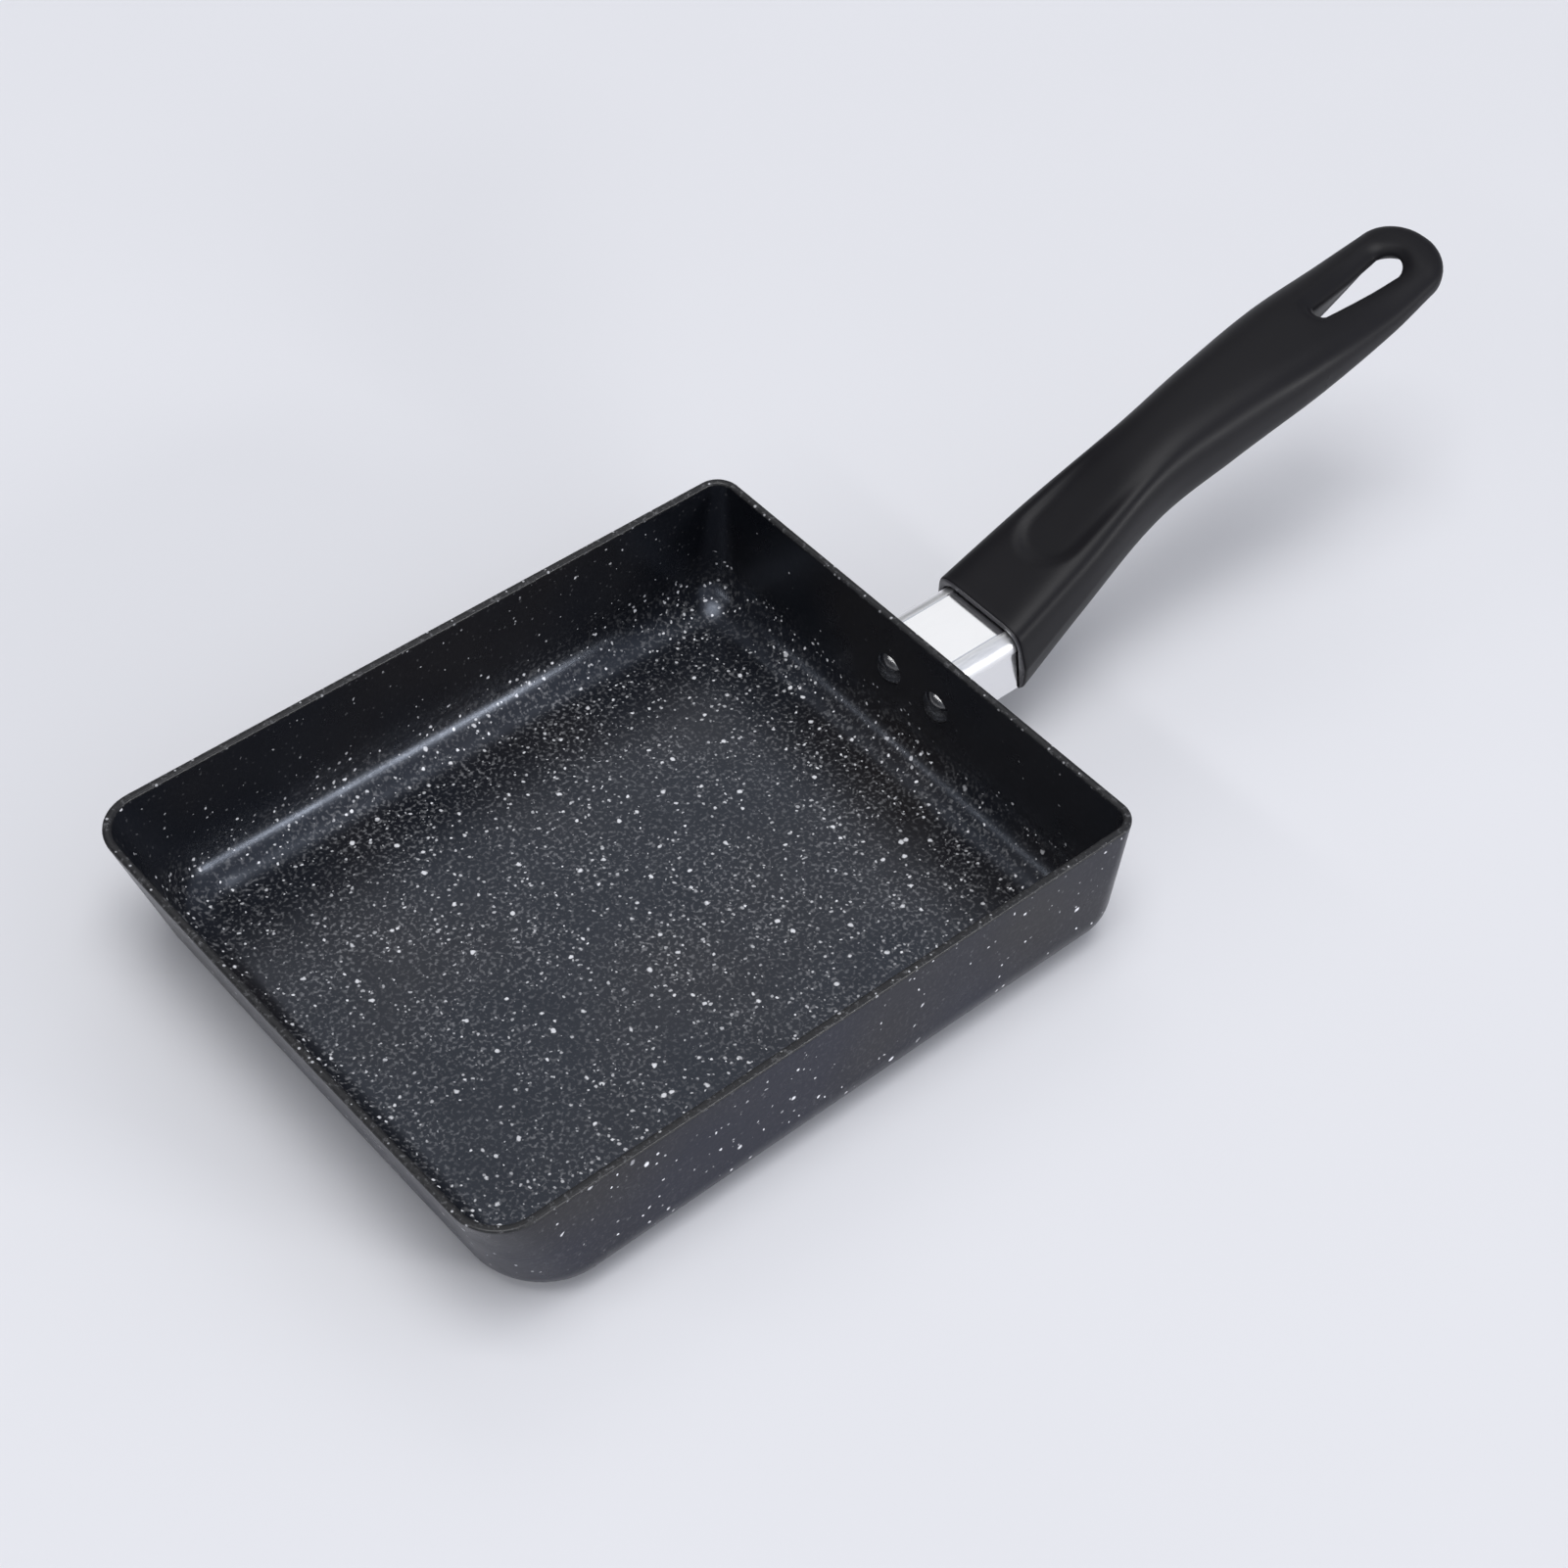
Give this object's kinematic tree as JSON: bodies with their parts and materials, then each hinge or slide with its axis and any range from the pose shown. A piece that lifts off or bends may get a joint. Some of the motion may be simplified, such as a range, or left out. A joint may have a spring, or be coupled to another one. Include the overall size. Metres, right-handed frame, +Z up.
{
  "type": "tamagoyaki pan",
  "caption": "Rectangular rolled-omelette pan with a shallow speckle-coated body, a bright flame guard over a riveted bracket, and a curved moulded handle with a hanging slot.",
  "frame": {"origin": "on the surface the pan stands on, under the middle of the rim", "axes": "+X along the handle, away from the pan; +Z up out of the pan; +Y to the side"},
  "size_m": [0.3439, 0.144, 0.0765],
  "materials": {
    "speckled_coating": "dark satin non-stick coating with pale flecks over aluminium sheet",
    "handle_moulding": "smooth satin black heat-proof moulding",
    "bright_steel": "bright fine-brushed stainless sheet",
    "plain_steel": "dull mill-finish steel strip",
    "coated_rivet": "dark satin coating over an aluminium rivet",
    "plated_fastener": "bright zinc plating"
  },
  "bodies": {
    "root": {"pan_body": "speckled_coating", "handle": "handle_moulding", "flame_guard": "bright_steel", "handle_bracket": "plain_steel", "rivet_left": "coated_rivet", "rivet_right": "coated_rivet", "handle_screw": "plated_fastener", "spring_washer": "plated_fastener", "bracket_nut": "plated_fastener"}
  },
  "joints": []
}
